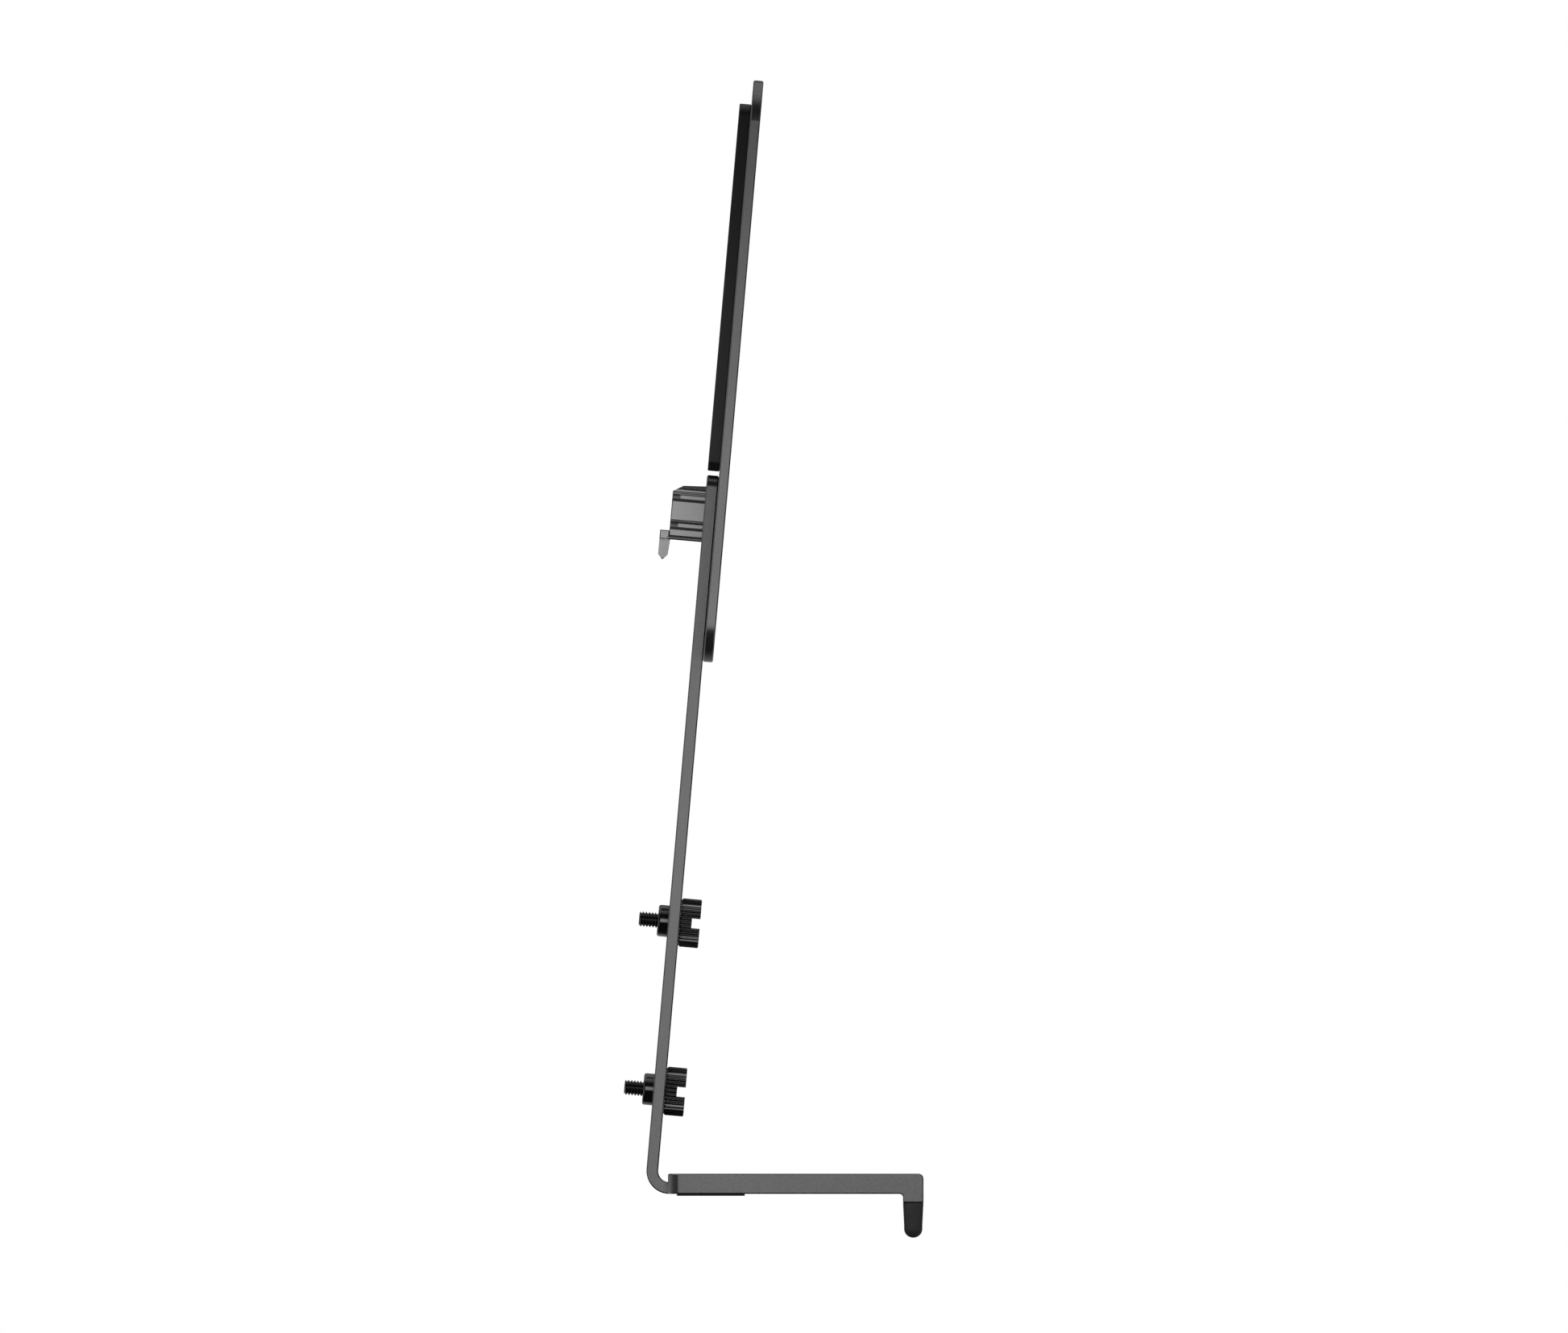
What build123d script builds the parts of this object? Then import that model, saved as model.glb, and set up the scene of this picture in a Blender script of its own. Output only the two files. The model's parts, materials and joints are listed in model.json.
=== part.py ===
from build123d import *
from math import cos, pi, radians, sin
import os

# A music stand that hooks over the rear edge of an instrument.
# Frame: X points away from the reader, Y along the panel's width, Z up. The origin is the
# centre of the underside of the pad that rests on the instrument. Lengths are millimetres.

# Upright plates lean back by this angle, in degrees.
lean = 5.0

# Pad under the foot
foot_pad_length = 28.2
foot_pad_width = 100.0
foot_pad_thickness = 0.8
foot_pad_corner = 2.0

# Bent bracket plate
bracket_front_x = -27.5
bracket_thickness = 4.9
bracket_width = 80.0
bracket_height = 298.5
bracket_corner = 4.6
bend_outer_radius = 9.5
bracket_foot_end_x = 12.0

# Back panel, and the rubber pad that carries on the line of the bracket on its front
panel_width = 300.0
panel_bottom = 221.4
panel_top = 462.8
panel_thickness = 4.2
panel_corner = 16.6
rest_pad_bottom = 300.3
rest_pad_top = 452.7
rest_pad_width = 80.0
rest_pad_corner = 4.6
rest_pad_edge_break = 0.3

# Edge breaks on the metal plates
edge_break = 0.5

# Foot yoke with two arms
yoke_front_x = -17.7
yoke_rear_x = 88.0
yoke_height = 8.4
yoke_arm_width = 14.0
yoke_crossbar_rear_x = 14.4
yoke_front_corner = 4.5
yoke_inner_corner = 6.0
yoke_rear_corner = 2.1
yoke_finger_thickness = 8.5
yoke_finger_drop = 3.6
yoke_finger_corner = 1.5
pocket_clearance = 0.1

# Rubber tips on the yoke's fingers
tip_length = 14.5
tip_straight_length = 1.5
tip_end_thickness = 7.6
tip_round_radius = 3.7
tip_side_round = 1.2
tenon_thickness = 4.6
tenon_width = 9.0
tenon_length = 8.5
tenon_clearance = 0.1

# Thumb screws: 1/4 inch UNC studs in knurled heads
thumb_screw_heights = {"upper": 113.2, "lower": 43.3}
stud_radius = 3.175
stud_tip = 12.1
stud_chamfer = 0.5
stud_in_head = 4.0
head_radius = 10.05
head_length = 8.35
head_gap = 0.01
head_inner_chamfer = 0.65
head_outer_chamfer = 0.35
knurl_count = 36
knurl_depth = 0.66
knurl_blank_margin = 0.2
coin_slot_width = 4.0
coin_slot_depth = 3.5

# Flanged bushings that the studs turn in, and the clips that keep the studs captive
flange_radius = 6.55
flange_length = 4.3
flange_round = 1.0
bushing_radius = 5.0
bushing_bore_radius = stud_radius + 0.075
clip_thickness = 0.8
clip_radius = 4.3
clip_gap_width = 4.4
clip_seat_radius = 4.6
clip_seat_depth = 0.95
groove_radius = 2.6

# Hook block, in plate coordinates: out from the plate's front, and up along the plate
hook_half_width = 30.0
hook_depth = 13.55
hook_bottom = 270.6
hook_top = 293.7
hook_top_front = 293.2
hook_nose_out = 9.3
hook_nose_height = 290.7
hook_slot_depth = 1.3
hook_slot_front = 10.2
hook_lip_out = 1.0
end_bevel_width = 0.35
end_bevel_depth = 0.09
hook_slot_height = 1.4
hook_slot_bottoms = (287.75, 276.0)

# Each end of the hook block, from its top down: inset from the full width, and height
hook_end_profile = [
    (1.05, hook_top),
    (0.3, 292.1),
    (0.6, 291.7),
    (0.0, 291.4),
    (0.0, 290.8),
    (0.4, 290.4),
    (0.4, 290.2),
    (0.8, 289.8),
    (0.8, 289.6),
    (1.15, 289.2),
    (0.25, 287.7),
    (0.0, 286.5),
    (0.0, 279.0),
    (0.4, 278.5),
    (0.4, 278.35),
    (1.05, 277.5),
    (1.15, 277.45),
    (0.25, 275.95),
    (0.0, 274.8),
    (0.0, 272.5),
    (0.5, 271.9),
    (0.0, 271.15),
    (0.35, hook_bottom),
]

# Hook bar and its prongs
bar_thickness = 3.85
bar_height = 3.7
bar_round = 1.7
bar_round_clearance = 0.05
prong_offset = 14.0
prong_width = 8.0
prong_root_lip = 0.65
prong_draft = 0.5
prong_shoulder_height = 264.2
prong_tip_height = 262.3
prong_tip_flat = 0.6
prong_tip_chamfer = 0.5

# Flush hexagon-socket screws: shank and head radii, and socket size
m4_shank, m4_head, m4_socket = 1.95, 3.9, 1.25
m2_shank, m2_head, m2_socket = 0.95, 1.55, 0.6
socket_depth_share = 0.8
screw_clearance = 0.05
screw_end_gap = 0.3
panel_screw_spread = 60.0
panel_screw_heights = (234.0, 288.0)
panel_screw_length = 8.5
hook_screw_spread = 30.0
hook_screw_height = 282.0
hook_screw_length = 12.5
bar_screw_spread = 48.0
bar_screw_length = 8.5
foot_screw_spacing_x = 12.0
foot_screw_spacing_y = 52.0
foot_screw_x = -1.0
foot_screw_length = 7.6
foot_screw_end_gap = 0.2

# Plate coordinates. "side" holds out-from-plate (negative towards the reader) and up-the-plate
# lengths. "front" holds width and up-the-plate lengths, and its normal points to the rear.
lean_sin = sin(radians(lean))
lean_cos = cos(radians(lean))
plate_foot = Vector(bracket_front_x, 0, foot_pad_thickness)
rearward = Vector(lean_cos, 0, -lean_sin)
upward = Vector(lean_sin, 0, lean_cos)
side = Plane(origin=plate_foot, x_dir=rearward, z_dir=(0, -1, 0))
front = Plane(origin=plate_foot, x_dir=(0, 1, 0), z_dir=rearward)
upright = Plane.XZ
floor_plane = Plane.XY.offset(foot_pad_thickness)
rearward_axis = Axis(plate_foot, rearward)
upward_axis = Axis(plate_foot, upward)

panel_rear = bracket_thickness + panel_thickness
bar_out = hook_depth + bar_thickness
arm_centre_y = bracket_width / 2 + yoke_arm_width / 2
yoke_width = bracket_width + 2 * yoke_arm_width
yoke_top = foot_pad_thickness + yoke_height
finger_centre_x = yoke_rear_x - yoke_finger_thickness / 2
finger_bottom = foot_pad_thickness - yoke_finger_drop
at_top = (Align.CENTER, Align.CENTER, Align.MAX)
at_bottom = (Align.CENTER, Align.CENTER, Align.MIN)

# Half of the width of the band in which edges and corners are picked out
pick_margin = 0.1


def save(part, name):
    part.label = name
    export_step(part, f"parts/{name}.step")


def rear_facing(out):
    """The plane across the plates at this depth, with its normal pointing to the rear."""
    return front.offset(out)


def front_facing(out):
    """The plane across the plates at this depth, with its normal pointing to the reader."""
    return Plane(origin=front.offset(out).origin, x_dir=(0, -1, 0), z_dir=-rearward)


def seen_from_above(height):
    """The plane across the plates at this height. Its second axis points to the reader."""
    return Plane(origin=plate_foot + upward * height, x_dir=(0, 1, 0), z_dir=upward)


def pair_points(spread, *heights):
    return [(half * spread / 2, height) for half in (-1, 1) for height in heights]


def flush_screws(name, plane, points, sizes, length):
    """Countersunk screws whose heads lie in the plane."""
    shank, head, socket = sizes
    with BuildPart(plane) as screws:
        with Locations(*points):
            Cone(shank, head, head - shank, align=at_top)
            Cylinder(shank, length, align=at_top)
        with BuildSketch(plane):
            with Locations(*points):
                RegularPolygon(socket, 6, major_radius=False)
        extrude(amount=-(head - shank) * socket_depth_share, mode=Mode.SUBTRACT)
    save(screws.part, name)


def make_bracket_plate():
    top = plate_foot + upward * bracket_height
    with BuildPart() as bracket_plate:
        with BuildSketch(upright):
            with BuildLine():
                FilletPolyline(
                    (top.X, top.Z),
                    (bracket_front_x, foot_pad_thickness),
                    (bracket_foot_end_x, foot_pad_thickness),
                    radius=bend_outer_radius,
                )
                offset(amount=bracket_thickness, side=Side.LEFT)
            make_face()
        extrude(amount=bracket_width / 2, both=True)
        top_corners = bracket_plate.edges().filter_by(rearward_axis).group_by(upward_axis)[-1]
        fillet(top_corners, bracket_corner)
        chamfer(bracket_plate.faces().filter_by(Axis.Y).edges(), edge_break)
        with Locations(rear_facing(bracket_thickness)):
            with Locations(*[(0, height) for height in thumb_screw_heights.values()]):
                Hole(bushing_radius)
            with Locations(*pair_points(panel_screw_spread, *panel_screw_heights)):
                Hole(m4_shank + screw_clearance, depth=bracket_thickness - screw_end_gap)
            with Locations(*pair_points(hook_screw_spread, hook_screw_height)):
                CounterSinkHole(m4_shank + screw_clearance, m4_head + screw_clearance,
                                counter_sink_angle=90)
        with Locations(Plane(origin=(foot_screw_x, 0, foot_pad_thickness), z_dir=(0, 0, -1))):
            with GridLocations(foot_screw_spacing_x, foot_screw_spacing_y, 2, 2):
                CounterSinkHole(m4_shank + screw_clearance, m4_head + screw_clearance,
                                depth=bracket_thickness * 2, counter_sink_angle=90)
    save(bracket_plate.part, "bracket_plate")


def make_back_panel():
    height = panel_top - panel_bottom
    with BuildPart() as back_panel:
        with BuildSketch(rear_facing(bracket_thickness)):
            with Locations((0, panel_bottom + height / 2)):
                RectangleRounded(panel_width, height, panel_corner)
        extrude(amount=panel_thickness)
        broad_faces = back_panel.faces().filter_by(rearward_axis)
        chamfer(broad_faces.edges(), edge_break)
        with Locations(rear_facing(panel_rear)):
            with Locations(*pair_points(panel_screw_spread, *panel_screw_heights)):
                CounterSinkHole(m4_shank + screw_clearance, m4_head + screw_clearance,
                                counter_sink_angle=90)
    save(back_panel.part, "back_panel")


def make_rest_pad():
    height = rest_pad_top - rest_pad_bottom
    with BuildPart() as rest_pad:
        with BuildSketch(rear_facing(0)):
            with Locations((0, rest_pad_bottom + height / 2)):
                RectangleRounded(rest_pad_width, height, rest_pad_corner)
        extrude(amount=bracket_thickness)
        chamfer(rest_pad.faces().filter_by(rearward_axis).edges(), rest_pad_edge_break)
    save(rest_pad.part, "rest_pad")


def make_hook_block():
    half = [(hook_half_width - inset, height) for inset, height in hook_end_profile]
    other_half = [(-y, height) for y, height in reversed(half)]
    bevelled = hook_half_width - end_bevel_depth
    outline = [
        (hook_half_width, 0),
        (hook_half_width, hook_depth - end_bevel_width),
        (bevelled, hook_depth),
        (bevelled, bar_out),
    ]
    other_outline = [(-y, out) for y, out in reversed(outline)]
    with BuildPart() as hook_block:
        with BuildSketch(side):
            Polygon(
                (0, hook_bottom),
                (0, hook_top),
                (-hook_nose_out, hook_top_front),
                (-hook_depth, hook_nose_height),
                (-hook_depth, hook_bottom + bar_round),
                (-hook_depth - hook_lip_out, hook_bottom + bar_round),
                (-hook_depth - hook_lip_out, hook_bottom),
                align=None,
            )
            with Locations((-hook_depth - bar_round, hook_bottom + bar_round)):
                Circle(bar_round + bar_round_clearance, mode=Mode.SUBTRACT)
        extrude(amount=hook_half_width, both=True)
        with BuildSketch(rear_facing(-bar_out)):
            Polygon(*half, *other_half, align=None)
        extrude(amount=bar_out, mode=Mode.INTERSECT)
        with BuildSketch(seen_from_above(hook_bottom)):
            Polygon(*outline, *other_outline, align=None)
        extrude(amount=hook_top - hook_bottom, mode=Mode.INTERSECT)
        with BuildSketch(rear_facing(-hook_slot_front)):
            with Locations(*[
                (edge * (hook_half_width - hook_slot_depth / 2), bottom + hook_slot_height / 2)
                for edge in (-1, 1)
                for bottom in hook_slot_bottoms
            ]):
                Rectangle(hook_slot_depth, hook_slot_height)
        extrude(amount=hook_slot_front, mode=Mode.SUBTRACT)
        with Locations(rear_facing(0)):
            with Locations(*pair_points(hook_screw_spread, hook_screw_height)):
                Hole(m4_shank + screw_clearance,
                     depth=hook_screw_length - bracket_thickness + screw_end_gap)
        with Locations(front_facing(-hook_depth)):
            with Locations(*pair_points(bar_screw_spread, hook_bottom + bar_height / 2)):
                Hole(m2_shank + screw_clearance,
                     depth=bar_screw_length - bar_thickness + screw_end_gap)
    save(hook_block.part, "hook_block")


def make_hook_bar():
    inner = hook_depth
    prong_inner = inner - prong_root_lip
    tip_middle = (bar_out + inner) / 2
    with BuildPart() as hook_bar:
        with BuildSketch(side):
            Polygon(
                (-inner - bar_round, hook_bottom),
                (-bar_out, hook_bottom),
                (-bar_out, hook_bottom + bar_height),
                (-inner, hook_bottom + bar_height),
                (-inner, hook_bottom + bar_round),
                align=None,
            )
            with Locations((-inner - bar_round, hook_bottom + bar_round)):
                Circle(bar_round)
        extrude(amount=hook_half_width, both=True)
        for end in (0, -1):
            face = hook_bar.faces().sort_by(Axis.Y)[end]
            chamfer(face.edges(), end_bevel_width, end_bevel_depth, reference=face)
        for centre in (-prong_offset, prong_offset):
            with BuildSketch(side.offset(centre)):
                Polygon(
                    (-bar_out, hook_bottom + bar_round),
                    (-inner - bar_round, hook_bottom + bar_round),
                    (-inner - bar_round, hook_bottom),
                    (-prong_inner, hook_bottom),
                    (-prong_inner - prong_draft, prong_shoulder_height),
                    (-tip_middle + prong_tip_flat / 2, prong_tip_height),
                    (-tip_middle - prong_tip_flat / 2, prong_tip_height),
                    (-bar_out, prong_shoulder_height),
                    align=None,
                )
            extrude(amount=prong_width / 2, both=True)
        tips = hook_bar.faces().sort_by(upward_axis)[:2]
        chamfer(tips.edges().filter_by(rearward_axis), prong_tip_chamfer)
        with Locations(front_facing(-bar_out)):
            with Locations(*pair_points(bar_screw_spread, hook_bottom + bar_height / 2)):
                CounterSinkHole(m2_shank + screw_clearance, m2_head + screw_clearance,
                                counter_sink_angle=90)
    save(hook_bar.part, "hook_bar")


def make_foot_yoke():
    crossbar_middle = (yoke_front_x + yoke_rear_x) / 2
    with BuildPart() as foot_yoke:
        with BuildSketch(floor_plane) as plan:
            with Locations((crossbar_middle, 0)):
                Rectangle(yoke_rear_x - yoke_front_x, yoke_width)
            fillet(plan.vertices().group_by(Axis.X)[0], yoke_front_corner)
            with Locations((yoke_crossbar_rear_x, 0)):
                Rectangle(yoke_rear_x, bracket_width, align=(Align.MIN, Align.CENTER),
                          mode=Mode.SUBTRACT)
            inner = plan.vertices().filter_by_position(
                Axis.X, yoke_crossbar_rear_x - pick_margin, yoke_crossbar_rear_x + pick_margin
            )
            fillet(inner, yoke_inner_corner)
        extrude(amount=yoke_height)
        with Locations((finger_centre_x, 0, foot_pad_thickness)):
            with GridLocations(0, 2 * arm_centre_y, 1, 2):
                Box(yoke_finger_thickness, yoke_arm_width, yoke_finger_drop, align=at_top)
        for edge_x, corner in (
            (yoke_rear_x, yoke_rear_corner),
            (yoke_rear_x - yoke_finger_thickness, yoke_finger_corner),
        ):
            across = foot_yoke.edges().filter_by(Axis.Y)
            nearby = across.filter_by_position(Axis.X, edge_x - pick_margin,
                                               edge_x + pick_margin)
            fillet(nearby.group_by(Axis.Z)[-1], corner)
        outer_sides = foot_yoke.faces().filter_by(Axis.Y).group_by(Axis.Y)
        chamfer(outer_sides[0].edges() + outer_sides[-1].edges(), edge_break)
        with Locations((finger_centre_x, 0, finger_bottom)):
            with GridLocations(0, 2 * arm_centre_y, 1, 2):
                Box(tenon_thickness, tenon_width, tenon_length, align=at_top)
        pocket_height = bracket_thickness + pocket_clearance
        with Locations((yoke_front_x, 0, foot_pad_thickness)):
            Box(
                bracket_foot_end_x + pocket_clearance - yoke_front_x,
                bracket_width + 2 * pocket_clearance,
                pocket_height,
                align=(Align.MIN, Align.CENTER, Align.MIN),
                mode=Mode.SUBTRACT,
            )
        with Locations(Plane(origin=(foot_screw_x, 0, foot_pad_thickness + pocket_height),
                             z_dir=(0, 0, -1))):
            with GridLocations(foot_screw_spacing_x, foot_screw_spacing_y, 2, 2):
                Hole(m4_shank + screw_clearance,
                     depth=foot_screw_length - bracket_thickness + foot_screw_end_gap)
    save(foot_yoke.part, "foot_yoke")


def make_foot_pad():
    with BuildPart() as foot_pad:
        with BuildSketch():
            RectangleRounded(foot_pad_length, foot_pad_width, foot_pad_corner)
        extrude(amount=foot_pad_thickness)
    save(foot_pad.part, "foot_pad")


def make_rubber_tip(name, centre_y):
    half_top = yoke_finger_thickness / 2
    half_end = tip_end_thickness / 2
    taper_length = tip_length - tip_round_radius - tip_straight_length
    end = finger_bottom - tip_length
    with BuildPart() as rubber_tip:
        with BuildSketch(upright.offset(-centre_y)) as outline:
            Polygon(
                (finger_centre_x - half_top, finger_bottom),
                (finger_centre_x - half_end, finger_bottom - taper_length),
                (finger_centre_x - half_end, end),
                (finger_centre_x + half_end, end),
                (finger_centre_x + half_end, finger_bottom - taper_length),
                (finger_centre_x + half_top, finger_bottom),
                align=None,
            )
            fillet(outline.vertices().group_by(Axis.Y)[0], tip_round_radius)
        extrude(amount=yoke_arm_width / 2, both=True)
        ends = rubber_tip.faces().filter_by(Axis.Y)
        below_joint = ends.edges().filter_by_position(Axis.Z, end - pick_margin,
                                                      finger_bottom - pick_margin)
        fillet(below_joint, tip_side_round)
        with Locations((finger_centre_x, centre_y, finger_bottom)):
            Box(
                tenon_thickness + 2 * tenon_clearance,
                tenon_width + 2 * tenon_clearance,
                tenon_length + tenon_clearance,
                align=at_top,
                mode=Mode.SUBTRACT,
            )
    save(rubber_tip.part, name)


def knurl_points():
    """Points on the ridges and in the grooves of a straight knurl, in turn."""
    half_step = pi / knurl_count
    radii = (head_radius, head_radius - knurl_depth)
    return [
        (radii[index % 2] * cos(index * half_step), radii[index % 2] * sin(index * half_step))
        for index in range(2 * knurl_count)
    ]


def make_thumb_screw(place, height):
    inner_face = bracket_thickness + head_gap
    head_plane = Plane(origin=front.offset(inner_face).from_local_coords(Vector(0, height, 0)),
                       x_dir=(0, 1, 0), z_dir=rearward)
    with BuildPart(head_plane) as screw_head:
        Cylinder(head_radius + knurl_blank_margin, head_length, align=at_bottom)
        rims = screw_head.edges().filter_by(GeomType.CIRCLE).sort_by(rearward_axis)
        chamfer(rims[0], head_inner_chamfer + knurl_blank_margin)
        chamfer(rims[-1], head_outer_chamfer + knurl_blank_margin)
        with BuildSketch(head_plane):
            with BuildLine():
                Spline(*knurl_points(), periodic=True)
            make_face()
        extrude(amount=head_length, mode=Mode.INTERSECT)
        with BuildSketch(head_plane.offset(head_length)):
            Rectangle(3 * head_radius, coin_slot_width)
        extrude(amount=-coin_slot_depth, mode=Mode.SUBTRACT)
        with BuildSketch(head_plane):
            Circle(stud_radius)
        extrude(amount=stud_in_head, mode=Mode.SUBTRACT)
    save(screw_head.part, f"thumb_screw_head_{place}")

    tip_plane = head_plane.offset(-(inner_face + stud_tip))
    groove_start = stud_tip - flange_length
    with BuildPart(tip_plane) as stud:
        Cylinder(stud_radius, stud_tip + inner_face + stud_in_head, align=at_bottom)
        tip_edge = stud.edges().filter_by(GeomType.CIRCLE).sort_by(rearward_axis)[0]
        chamfer(tip_edge, stud_chamfer)
        with BuildSketch(tip_plane.offset(groove_start)):
            Circle(stud_radius)
            Circle(groove_radius, mode=Mode.SUBTRACT)
        extrude(amount=clip_seat_depth, mode=Mode.SUBTRACT)
    save(stud.part, f"thumb_screw_stud_{place}")

    flange_plane = head_plane.offset(-(inner_face + flange_length))
    with BuildPart(flange_plane) as bushing:
        Cylinder(flange_radius, flange_length, align=at_bottom)
        outer_edge = bushing.edges().filter_by(GeomType.CIRCLE).sort_by(rearward_axis)[0]
        fillet(outer_edge, flange_round)
        with BuildSketch(flange_plane.offset(flange_length)):
            Circle(bushing_radius)
        extrude(amount=bracket_thickness - edge_break)
        with BuildSketch(flange_plane):
            Circle(bushing_bore_radius)
        extrude(amount=flange_length + bracket_thickness, mode=Mode.SUBTRACT)
        with BuildSketch(flange_plane):
            Circle(clip_seat_radius)
        extrude(amount=clip_seat_depth, mode=Mode.SUBTRACT)
    save(bushing.part, f"bushing_{place}")

    clip_start = (clip_seat_depth - clip_thickness) / 2
    with BuildPart() as clip:
        with BuildSketch(flange_plane.offset(clip_start)):
            Circle(clip_radius)
            Circle(groove_radius, mode=Mode.SUBTRACT)
            Rectangle(clip_gap_width, 2 * clip_radius, align=(Align.CENTER, Align.MAX),
                      mode=Mode.SUBTRACT)
        extrude(amount=clip_thickness)
    save(clip.part, f"retaining_clip_{place}")


os.makedirs("parts", exist_ok=True)
make_bracket_plate()
make_back_panel()
make_rest_pad()
make_hook_block()
make_hook_bar()
make_foot_yoke()
make_foot_pad()
make_rubber_tip("rubber_tip_left", -arm_centre_y)
make_rubber_tip("rubber_tip_right", arm_centre_y)
for place, height in thumb_screw_heights.items():
    make_thumb_screw(place, height)
flush_screws(
    "panel_screws",
    rear_facing(panel_rear),
    pair_points(panel_screw_spread, *panel_screw_heights),
    (m4_shank, m4_head, m4_socket),
    panel_screw_length,
)
flush_screws(
    "hook_screws",
    rear_facing(bracket_thickness),
    pair_points(hook_screw_spread, hook_screw_height),
    (m4_shank, m4_head, m4_socket),
    hook_screw_length,
)
flush_screws(
    "hook_bar_screws",
    front_facing(-bar_out),
    pair_points(bar_screw_spread, hook_bottom + bar_height / 2),
    (m2_shank, m2_head, m2_socket),
    bar_screw_length,
)
foot_screw_points = [
    (across * foot_screw_spacing_x / 2, along * foot_screw_spacing_y / 2)
    for across in (-1, 1)
    for along in (-1, 1)
]
flush_screws(
    "foot_screws",
    Plane(origin=(foot_screw_x, 0, foot_pad_thickness), z_dir=(0, 0, -1)),
    foot_screw_points,
    (m4_shank, m4_head, m4_socket),
    foot_screw_length,
)
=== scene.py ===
import json
import math

import bmesh
import bpy
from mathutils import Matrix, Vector


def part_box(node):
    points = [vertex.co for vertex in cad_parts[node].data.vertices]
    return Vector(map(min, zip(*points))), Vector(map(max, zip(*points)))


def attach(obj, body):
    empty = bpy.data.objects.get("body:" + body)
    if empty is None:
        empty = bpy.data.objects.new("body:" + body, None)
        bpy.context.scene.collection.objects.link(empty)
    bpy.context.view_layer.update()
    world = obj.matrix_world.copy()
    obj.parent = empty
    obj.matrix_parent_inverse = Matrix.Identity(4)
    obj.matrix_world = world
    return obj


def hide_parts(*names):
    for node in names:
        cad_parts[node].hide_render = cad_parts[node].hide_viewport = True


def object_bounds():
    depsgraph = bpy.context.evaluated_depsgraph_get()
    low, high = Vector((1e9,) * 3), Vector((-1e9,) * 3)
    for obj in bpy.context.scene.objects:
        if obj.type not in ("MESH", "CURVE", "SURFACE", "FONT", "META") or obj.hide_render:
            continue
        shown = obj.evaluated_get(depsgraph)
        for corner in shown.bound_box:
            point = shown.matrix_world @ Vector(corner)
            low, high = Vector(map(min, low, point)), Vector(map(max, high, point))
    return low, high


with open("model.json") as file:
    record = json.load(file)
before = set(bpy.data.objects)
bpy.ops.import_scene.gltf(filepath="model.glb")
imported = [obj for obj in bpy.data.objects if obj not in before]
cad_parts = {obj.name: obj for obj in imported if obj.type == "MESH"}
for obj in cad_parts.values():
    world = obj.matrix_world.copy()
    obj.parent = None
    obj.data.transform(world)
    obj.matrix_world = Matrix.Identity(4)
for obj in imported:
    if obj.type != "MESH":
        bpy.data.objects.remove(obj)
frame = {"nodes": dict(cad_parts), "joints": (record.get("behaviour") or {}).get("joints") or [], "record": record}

cad_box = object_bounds()
nodes = frame["nodes"]
record = frame["record"]
mounts = {mount["name"]: mount for mount in record["mounts"]}
joints = {joint["name"]: joint for joint in frame["joints"]}

# A music stand, in metres. The metal parts keep their CAD shape and get a material. The rubber
# parts and the threaded studs are shaped here and replace their CAD nodes.
MM = 0.001
TIP_SIDES = ("left", "right")
SCREW_PLACES = ("upper", "lower")

# Directions of the leaning plates: rearward is the plates' normal, upward runs along them.
REARWARD = -Vector(joints["thumb_screw_upper_turn"]["axis"]).normalized()
ACROSS = Vector((0, 1, 0))
UPWARD = REARWARD.cross(ACROSS).normalized()

# The thread's form over one pitch: the share of the pitch, and the share of the depth.
THREAD_FORM = (
    (0.0, 0.0),
    (0.07, 0.05),
    (0.15, 0.22),
    (0.33, 0.8),
    (0.41, 0.96),
    (0.5, 1.0),
    (0.59, 0.96),
    (0.67, 0.8),
    (0.85, 0.22),
    (0.93, 0.05),
    (1.0, 0.0),
)

# Each light of the world: its direction, the angles from it at which it starts and is full,
# and its strength.
WORLD_LIGHTS = (
    ((0, 0, 1), 180.0, 179.0, 0.02),
    ((0, 0.2, 1), 58.0, 20.0, 0.52),
    ((-1, 0.3, 0), 50.0, 20.0, 0.38),
    ((0, 0.9, -0.43), 52.0, 30.0, 0.5),
    ((-0.75, 0.66, 0), 38.0, 20.0, 0.5),
    ((0.75, 0.66, 0), 38.0, 20.0, 0.5),
    ((0.6, -0.66, -0.45), 24.0, 10.0, 0.45),
    ((-0.72, -0.65, -0.27), 24.0, 10.0, 0.28),
    ((0.87, 0, -0.5), 22.0, 12.0, 0.5),
)


# Materials ------------------------------------------------------------------------------------

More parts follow.
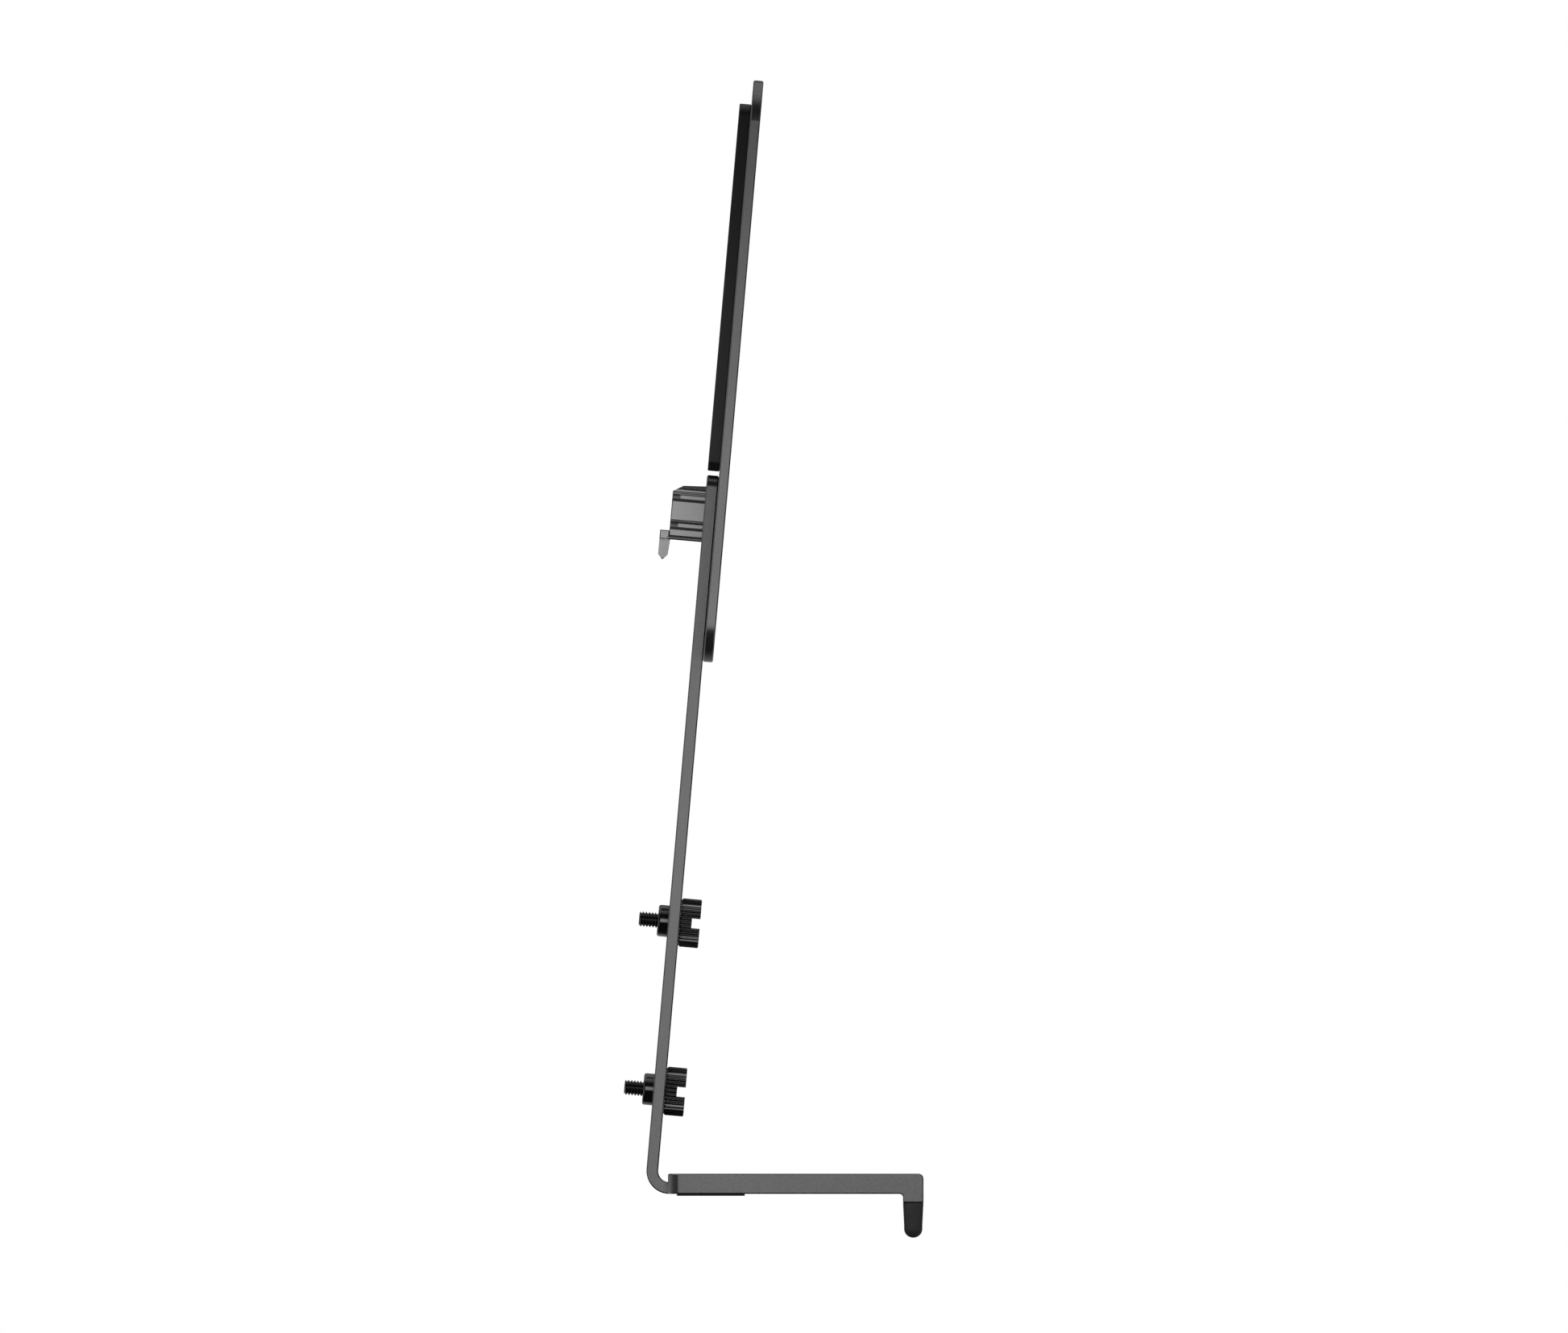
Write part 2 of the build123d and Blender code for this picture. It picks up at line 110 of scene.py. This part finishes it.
class Nodes:
    """A material's node tree with short calls for adding and linking nodes."""

    def __init__(self, name):
        self.material = bpy.data.materials.new(name)
        self.material.use_nodes = True
        self.tree = self.material.node_tree
        self.tree.nodes.clear()
        output = self.tree.nodes.new("ShaderNodeOutputMaterial")
        self.shader = self.tree.nodes.new("ShaderNodeBsdfPrincipled")
        self.tree.links.new(self.shader.outputs["BSDF"], output.inputs["Surface"])
        self.place = self.tree.nodes.new("ShaderNodeTexCoord").outputs["Object"]

    def link(self, source, target):
        self.tree.links.new(source, target)

    def noise(self, scale, detail=2.0, roughness=0.5):
        node = self.tree.nodes.new("ShaderNodeTexNoise")
        node.inputs["Scale"].default_value = scale
        node.inputs["Detail"].default_value = detail
        node.inputs["Roughness"].default_value = roughness
        self.link(self.place, node.inputs["Vector"])
        return node.outputs["Fac"]

    def ramp(self, value, low, high, out_low, out_high):
        node = self.tree.nodes.new("ShaderNodeMapRange")
        node.inputs["From Min"].default_value = low
        node.inputs["From Max"].default_value = high
        node.inputs["To Min"].default_value = out_low
        node.inputs["To Max"].default_value = out_high
        self.link(value, node.inputs["Value"])
        return node.outputs["Result"]

    def maths(self, operation, first, second):
        node = self.tree.nodes.new("ShaderNodeMath")
        node.operation = operation
        for socket, value in zip(node.inputs, (first, second)):
            if isinstance(value, float):
                socket.default_value = value
            else:
                self.link(value, socket)
        return node.outputs["Value"]

    def mix(self, factor, first, second):
        """A colour between two colours. Each is a grey or another node's colour."""
        node = self.tree.nodes.new("ShaderNodeMix")
        node.data_type = "RGBA"
        colours = [socket for socket in node.inputs if socket.type == "RGBA"]
        self.link(factor, node.inputs["Factor"])
        for socket, value in zip(colours, (first, second)):
            if isinstance(value, float):
                socket.default_value = (value, value, value, 1.0)
            else:
                self.link(value, socket)
        return next(socket for socket in node.outputs if socket.type == "RGBA")

    def bump(self, height, strength, distance):
        node = self.tree.nodes.new("ShaderNodeBump")
        node.inputs["Strength"].default_value = strength
        node.inputs["Distance"].default_value = distance
        self.link(height, node.inputs["Height"])
        self.link(node.outputs["Normal"], self.shader.inputs["Normal"])

    def edges(self, radius, samples=4, flat=0.999, sharp=0.9):
        """1 on sharp edges and 0 on flat faces, from how far a bevel would turn the normal."""
        bevel = self.tree.nodes.new("ShaderNodeBevel")
        bevel.samples = samples
        bevel.inputs["Radius"].default_value = radius
        geometry = self.tree.nodes.new("ShaderNodeNewGeometry")
        dot = self.tree.nodes.new("ShaderNodeVectorMath")
        dot.operation = "DOT_PRODUCT"
        self.link(bevel.outputs["Normal"], dot.inputs[0])
        self.link(geometry.outputs["Normal"], dot.inputs[1])
        return self.ramp(dot.outputs["Value"], flat, sharp, 0.0, 1.0)

    def colour(self, value):
        self.link(value, self.shader.inputs["Base Color"])

    def roughness(self, value):
        self.link(value, self.shader.inputs["Roughness"])


def blasted_metal(name, base, speckle, edge, roughness):
    """Sand-blasted and anodised: a fine salt-and-pepper grain, and slightly worn edges."""
    grain_scale, broad_scale, wear_scale = 3200.0, 14.0, 300.0
    broad_change, most_wear, roughness_change = 0.03, 0.5, 0.05
    edge_radius = 0.2 * MM
    grain_strength, grain_depth = 0.25, 0.03 * MM
    made = Nodes(name)
    grain = made.noise(grain_scale, detail=1.0, roughness=0.6)
    broad = made.noise(broad_scale, detail=3.0)
    broad = made.ramp(broad, 0.3, 0.7, -broad_change, broad_change)
    fleck = made.ramp(grain, 0.25, 0.75, -speckle, speckle)
    level = made.maths("ADD", made.maths("ADD", fleck, broad), 0.5)
    body = made.mix(level, 0.0, 2 * base)
    wear = made.ramp(made.noise(wear_scale, detail=4.0), 0.5, 0.8, 0.0, most_wear)
    worn = made.maths("MULTIPLY", made.edges(edge_radius), wear)
    made.colour(made.mix(worn, body, edge))
    made.roughness(made.ramp(grain, 0.25, 0.75, roughness - roughness_change,
                             roughness + roughness_change))
    made.shader.inputs["Metallic"].default_value = 0.97
    made.bump(grain, grain_strength, grain_depth)
    return made.material


def black_steel(name, base, roughness):
    """Black-oxide steel with a smooth, slightly oily sheen and faint handling smudges."""
    smudge_scale, smudge_gain = 140.0, 1.5
    smoother, rougher = 0.04, 0.06
    texture_scale, texture_strength, texture_depth = 1500.0, 0.1, 0.02 * MM
    made = Nodes(name)
    smudge = made.noise(smudge_scale, detail=4.0, roughness=0.6)
    made.colour(made.mix(made.ramp(smudge, 0.35, 0.7, 0.0, 1.0), base, base * smudge_gain))
    made.roughness(made.ramp(smudge, 0.3, 0.7, roughness - smoother, roughness + rougher))
    made.shader.inputs["Metallic"].default_value = 1.0
    made.bump(made.noise(texture_scale), texture_strength, texture_depth)
    return made.material


def moulded_rubber(name, base, roughness):
    """Moulded rubber: matte, faintly dusty, with a fine pebbled grain."""
    dust_scale, dust_gain = 60.0, 1.2
    grain_scale, grain_strength, grain_depth = 1600.0, 0.35, 0.03 * MM
    grain_change, roughness_change = 0.15, 0.05
    made = Nodes(name)
    dust = made.noise(dust_scale, detail=5.0, roughness=0.6)
    dust = made.ramp(dust, 0.4, 0.75, 1.0, dust_gain)
    grain = made.noise(grain_scale, roughness=0.55)
    fleck = made.ramp(grain, 0.3, 0.7, 1.0 - grain_change, 1.0 + grain_change)
    made.colour(made.mix(made.maths("MULTIPLY", fleck, dust), 0.0, base))
    made.roughness(made.ramp(grain, 0.3, 0.7, roughness - roughness_change,
                             roughness + roughness_change))
    made.bump(grain, grain_strength, grain_depth)
    return made.material


def pale_paper():
    """The studio's floor: white paper with a faint unevenness."""
    paper = Nodes("pale_paper")
    paper.colour(paper.mix(paper.noise(3.0), 0.84, 0.88))
    paper.shader.inputs["Roughness"].default_value = 0.9
    return paper.material


MATERIALS = {
    "plate_metal": blasted_metal("blasted_plate", 0.205, speckle=0.2, edge=0.3, roughness=0.3),
    "hook_metal": blasted_metal("blasted_hook", 0.40, speckle=0.11, edge=0.5, roughness=0.3),
    "black_steel": black_steel("black_oxide", 0.12, roughness=0.16),
    "screw_steel": black_steel("screw_oxide", 0.05, roughness=0.36),
    "pad_rubber": moulded_rubber("pad_rubber_grain", 0.012, roughness=0.34),
    "foot_rubber": moulded_rubber("foot_rubber_grain", 0.026, roughness=0.42),
}


def dress_nodes():
    """Every CAD node that stays gets the material of its slot."""
    for entry in record["subparts"]:
        node = nodes[entry["node"]]
        node.data.materials.clear()
        node.data.materials.append(MATERIALS[entry["material_slot"]])


# Mesh helpers ---------------------------------------------------------------------------------

def piece_from(name, mesh_data, slot, body, *replaced):
    mesh = bpy.data.meshes.new(name)
    mesh_data.to_mesh(mesh)
    mesh_data.free()
    piece = bpy.data.objects.new(name, mesh)
    bpy.context.scene.collection.objects.link(piece)
    mesh.materials.append(MATERIALS[slot])
    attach(piece, body)
    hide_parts(*replaced)
    return piece


def shade(piece, angle=30.0):
    """Smooth shading with the sharp edges kept."""
    mesh = piece.data
    for face in mesh.polygons:
        face.use_smooth = True
    mesh.set_sharp_from_angle(angle=math.radians(angle))


def add_ring(made, points):
    return [made.verts.new(point) for point in points]


def skin(made, rings):
    """Bands of quads between rings that have as many points."""
    for first, second in zip(rings, rings[1:]):
        count = len(first)
        for index in range(count):
            following = (index + 1) % count
            made.faces.new((first[index], first[following], second[following], second[index]))


def rounded_outline(half_width, low, high, corner, steps=8):
    """Points around a rectangle with rounded corners, as pairs of across and up."""
    points = []
    corners = (
        (half_width - corner, high - corner),
        (corner - half_width, high - corner),
        (corner - half_width, low + corner),
        (half_width - corner, low + corner),
    )
    for quarter, (across, up) in enumerate(corners):
        for step in range(steps + 1):
            angle = math.pi / 2 * (quarter + step / steps)
            points.append((across + corner * math.cos(angle), up + corner * math.sin(angle)))
    return points


def close_with_grooves(made, rows, columns, point_at):
    """Closes a shell's open rim with a face that has a field of grooves in its middle.

    Each row and column holds its place and how far the grooves sink there.
    """
    grid = [[made.verts.new(point_at(row, column, sunk * inner)) for column, inner in columns]
            for row, sunk in rows]
    for lower, upper in zip(grid, grid[1:]):
        for left in range(len(columns) - 1):
            made.faces.new((lower[left], lower[left + 1], upper[left + 1], upper[left]))
    rim = [edge for edge in made.edges if edge.is_boundary]
    bmesh.ops.triangle_fill(made, use_beauty=True, edges=rim)


def span(node, axis):
    """The lowest and highest place of a CAD node along a direction."""
    places = [vert.co.dot(axis) for vert in nodes[node].data.vertices]
    return min(places), max(places)


def on_plate(out, across, up):
    return REARWARD * out + ACROSS * across + UPWARD * up


# Pieces ---------------------------------------------------------------------------------------

def rest_pad():
    """A solid rubber pad: a plain border round a field of fine moulded ribs."""
    corner, edge, border = 4.6 * MM, 0.3 * MM, 6 * MM
    pitch, groove, depth, run = 3.4 * MM, 1.2 * MM, 0.5 * MM, 0.25 * MM
    front, back = span("rest_pad", REARWARD)
    low, high = span("rest_pad", UPWARD)
    half_width = span("rest_pad", ACROSS)[1]
    made = bmesh.new()
    rings = []
    for inset, out in ((edge, back), (0.0, back - edge), (0.0, front + edge), (edge, front)):
        outline = rounded_outline(half_width - inset, low + inset, high - inset, corner - inset)
        rings.append(add_ring(made, [on_plate(out, *point) for point in outline]))
    skin(made, rings)
    made.faces.new(rings[0])

    field_low, field_high = low + border, high - border
    count = int((field_high - field_low) / pitch)
    start = (field_low + field_high - count * pitch) / 2
    rows = [(field_low, 0.0)]
    for index in range(count):
        centre = start + (index + 0.5) * pitch
        rows += [
            (centre - groove / 2, 0.0),
            (centre - groove / 2 + run, depth),
            (centre + groove / 2 - run, depth),
            (centre + groove / 2, 0.0),
        ]
    rows.append((field_high, 0.0))
    end = half_width - border
    columns = ((-end, 0), (-end + run, 1), (end - run, 1), (end, 0))
    close_with_grooves(made, rows, columns,
                       lambda up, across, sunk: on_plate(front + sunk, across, up))
    bmesh.ops.recalc_face_normals(made, faces=made.faces)
    shade(piece_from("rest_pad_rubber", made, "pad_rubber", "stand", "rest_pad"))


def rubber_tip(side):
    """A moulded tip: tapered, with a round end and soft sides."""
    node = f"rubber_tip_{side}"
    taper, straight, top_break = 0.45 * MM, 1.5 * MM, 0.25 * MM
    end_round, side_round = 3.7 * MM, 1.2 * MM
    steps, widest_corner = 10, 0.9
    low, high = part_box(node)
    middle = (low + high) / 2
    half_top = (high.x - low.x) / 2
    half_end = half_top - taper
    half_width = (high.y - low.y) / 2
    levels = [
        (high.z, half_top - top_break, half_width - top_break),
        (high.z - top_break, half_top, half_width),
        (low.z + end_round + straight, half_end, half_width),
    ]
    for step in range(steps + 1):
        angle = math.pi / 2 * step / steps
        levels.append((
            low.z + end_round * (1 - math.sin(angle)),
            half_end - end_round * (1 - math.cos(angle)),
            half_width - side_round * (1 - math.cos(angle)),
        ))
    made = bmesh.new()
    rings = []
    for height, half_x, half_y in levels:
        corner = min(side_round, half_x * widest_corner)
        outline = rounded_outline(half_x, -half_y, half_y, corner, steps=6)
        rings.append(add_ring(made, [Vector((middle.x + x, middle.y + y, height))
                                     for x, y in outline]))
    skin(made, rings)
    made.faces.new(rings[0])
    made.faces.new(rings[-1])
    bmesh.ops.recalc_face_normals(made, faces=made.faces)
    shade(piece_from(f"moulded_tip_{side}", made, "foot_rubber", "stand", node), 40.0)


def foot_pad():
    """The thin rubber sheet under the foot, with a softened rim and shallow grip grooves."""
    corner, edge, border = 2 * MM, 0.15 * MM, 3 * MM
    count, groove, depth = 5, 1.2 * MM, 0.25 * MM
    low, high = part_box("foot_pad")
    middle = (low + high) / 2
    half_x, half_y = (high.x - low.x) / 2, (high.y - low.y) / 2
    made = bmesh.new()
    rings = []
    for inset, height in ((edge, high.z), (0.0, high.z - edge), (0.0, low.z + edge),
                          (edge, low.z)):
        outline = rounded_outline(half_y - inset, -half_x + inset, half_x - inset,
                                  corner - inset, steps=6)
        rings.append(add_ring(made, [Vector((middle.x + x, middle.y + y, height))
                                     for y, x in outline]))
    skin(made, rings)
    made.faces.new(rings[0])

    rows = [(-half_x + border, 0.0)]
    for index in range(count):
        centre = (index - (count - 1) / 2) * (2 * half_x - 2 * border) / count
        rows += [
            (centre - groove / 2, 0.0),
            (centre - groove / 4, depth),
            (centre + groove / 4, depth),
            (centre + groove / 2, 0.0),
        ]
    rows.append((half_x - border, 0.0))
    end = half_y - border
    columns = ((-end, 0), (-end + depth, 1), (end - depth, 1), (end, 0))
    close_with_grooves(made, rows, columns,
                       lambda x, y, sunk: (middle.x + x, middle.y + y, low.z + sunk))
    bmesh.ops.recalc_face_normals(made, faces=made.faces)
    shade(piece_from("foot_pad_rubber", made, "foot_rubber", "stand", "foot_pad"))


def thread_sink(phase):
    """How deep the thread's form is at this share of its pitch."""
    for (start, low), (end, high) in zip(THREAD_FORM, THREAD_FORM[1:]):
        if phase <= end:
            return low + (high - low) * (phase - start) / (end - start)


def threaded_stud(place):
    """The stud with its helical thread, from the rounded tip to inside the head."""
    mount = mounts[f"stud_{place}"]
    node = f"thumb_screw_stud_{place}"
    outer = mount["dims"]["r_mm"] * MM
    pitch, depth, tip_round = 1.27 * MM, 0.66 * MM, 1.0 * MM
    hidden_thread, run_out = 2 * MM, 0.4 * MM
    around, rows_per_pitch = 72, 16
    start, stop = span(node, REARWARD)
    centre = Vector(mount["pos_m"])
    thread_end = centre.dot(REARWARD) + mount["dims"]["length_mm"] * MM / 2 + hidden_thread
    centre -= REARWARD * centre.dot(REARWARD)

    def ring_at(along, threaded):
        lead = along - start
        points = []
        for step in range(around):
            turn = step / around
            radius = outer - depth
            if threaded:
                radius = outer - depth * thread_sink((lead / pitch - turn) % 1.0)
            if lead < tip_round:
                tip_limit = outer - tip_round + math.sqrt(lead * (2 * tip_round - lead))
                radius = min(radius, tip_limit)
            angle = 2 * math.pi * turn
            side = ACROSS * math.cos(angle) + UPWARD * math.sin(angle)
            points.append(centre + REARWARD * along + side * radius)
        return points

    rows = int((thread_end - start) / pitch * rows_per_pitch)
    made = bmesh.new()
    rings = [add_ring(made, ring_at(start + (thread_end - start) * row / rows, True))
             for row in range(rows + 1)]
    rings.append(add_ring(made, ring_at(thread_end + run_out, False)))
    rings.append(add_ring(made, ring_at(stop, False)))
    skin(made, rings)
    made.faces.new(rings[0])
    made.faces.new(rings[-1])
    bmesh.ops.recalc_face_normals(made, faces=made.faces)
    shade(piece_from(f"threaded_stud_{place}", made, "black_steel", f"thumb_screw_{place}",
                     node), 50.0)


# Studio ---------------------------------------------------------------------------------------

def aim(thing, target):
    thing.rotation_euler = (Vector(target) - thing.location).to_track_quat("-Z", "Y").to_euler()


def soft_light(name, place, target, width, height, power):
    data = bpy.data.lights.new(name, "AREA")
    data.shape = "RECTANGLE"
    data.size, data.size_y = width, height
    data.energy = power
    light = bpy.data.objects.new(name, data)
    light.location = place
    aim(light, target)
    light.visible_camera = False
    bpy.context.scene.collection.objects.link(light)
    return light


def front_light():
    """An upright panel in front of the side that the camera sees."""
    low, high = Vector((-0.24, 0, -0.08)), Vector((0.2, 0, 0.41))
    distance, radiance = 1.2, 1.35
    middle = (low + high) / 2
    middle.y = -distance
    size = high - low
    soft_light("front_panel", middle, middle + ACROSS, size.x, size.z,
               radiance * math.pi * size.x * size.z)


def floor_light():
    """A wide sheet overhead that lights matte surfaces and leaves no highlight on metal."""
    height, width, power = 2.6, 4.0, 110.0
    middle = (cad_box[0] + cad_box[1]) / 2
    fill = soft_light("floor_fill", middle + Vector((0, 0, height)), middle, width, width, power)
    fill.visible_glossy = False


def world_strength(tree):
    """The brightest of the world's lights in each direction."""
    direction = tree.nodes.new("ShaderNodeTexCoord").outputs["Generated"]
    total = None
    for toward, start, full, strength in WORLD_LIGHTS:
        dot = tree.nodes.new("ShaderNodeVectorMath")
        dot.operation = "DOT_PRODUCT"
        dot.inputs[1].default_value = Vector(toward).normalized()
        tree.links.new(direction, dot.inputs[0])
        ramp = tree.nodes.new("ShaderNodeMapRange")
        ramp.interpolation_type = "SMOOTHSTEP"
        ramp.inputs["From Min"].default_value = math.cos(math.radians(start))
        ramp.inputs["From Max"].default_value = math.cos(math.radians(full))
        ramp.inputs["To Max"].default_value = strength
        tree.links.new(dot.outputs["Value"], ramp.inputs["Value"])
        level = ramp.outputs["Result"]
        if total is not None:
            brighter = tree.nodes.new("ShaderNodeMath")
            brighter.operation = "MAXIMUM"
            tree.links.new(total, brighter.inputs[0])
            tree.links.new(level, brighter.inputs[1])
            level = brighter.outputs["Value"]
        total = level
    return total


def studio_world():
    """White for the camera, and soft patches of light for everything else."""
    world = bpy.data.worlds.new("studio_white")
    world.use_nodes = True
    tree = world.node_tree
    tree.nodes.clear()
    output = tree.nodes.new("ShaderNodeOutputWorld")
    mixer = tree.nodes.new("ShaderNodeMixShader")
    rays = tree.nodes.new("ShaderNodeLightPath")
    lights = tree.nodes.new("ShaderNodeBackground")
    white = tree.nodes.new("ShaderNodeBackground")
    for background, socket in ((lights, mixer.inputs[1]), (white, mixer.inputs[2])):
        background.inputs["Color"].default_value = (1, 1, 1, 1)
        tree.links.new(background.outputs["Background"], socket)
    tree.links.new(world_strength(tree), lights.inputs["Strength"])
    tree.links.new(rays.outputs["Is Camera Ray"], mixer.inputs[0])
    tree.links.new(mixer.outputs["Shader"], output.inputs["Surface"])
    bpy.context.scene.world = world


def studio_floor():
    """A pale sheet under the lowest point. It isn't mirrored in the metal."""
    low, high = cad_box
    middle = (low + high) / 2
    half_size, segments = 4.0, 8
    made = bmesh.new()
    bmesh.ops.create_grid(made, x_segments=segments, y_segments=segments, size=half_size)
    mesh = bpy.data.meshes.new("floor")
    made.to_mesh(mesh)
    made.free()
    floor = bpy.data.objects.new("floor", mesh)
    floor.location = (middle.x, middle.y, low.z)
    floor.visible_glossy = False
    mesh.materials.append(pale_paper())
    bpy.context.scene.collection.objects.link(floor)


def side_camera():
    """A straight side view without perspective, framed a little off the object's middle."""
    low, high = cad_box
    share_of_height, aspect = 0.8683, 1946 / 1654
    right, lower, distance = 4.3 * MM, 3.1 * MM, 2.5
    data = bpy.data.cameras.new("side_camera")
    data.type = "ORTHO"
    data.ortho_scale = (high.z - low.z) / share_of_height * aspect
    camera = bpy.data.objects.new("side_camera", data)
    camera.location = (low + high) / 2 + Vector((right, -distance, -lower))
    aim(camera, camera.location + ACROSS)
    bpy.context.scene.collection.objects.link(camera)
    bpy.context.scene.camera = camera
    bpy.context.scene.view_settings.view_transform = "Standard"


dress_nodes()
rest_pad()
foot_pad()
for side in TIP_SIDES:
    rubber_tip(side)
for place in SCREW_PLACES:
    threaded_stud(place)
front_light()
floor_light()
studio_world()
studio_floor()
side_camera()
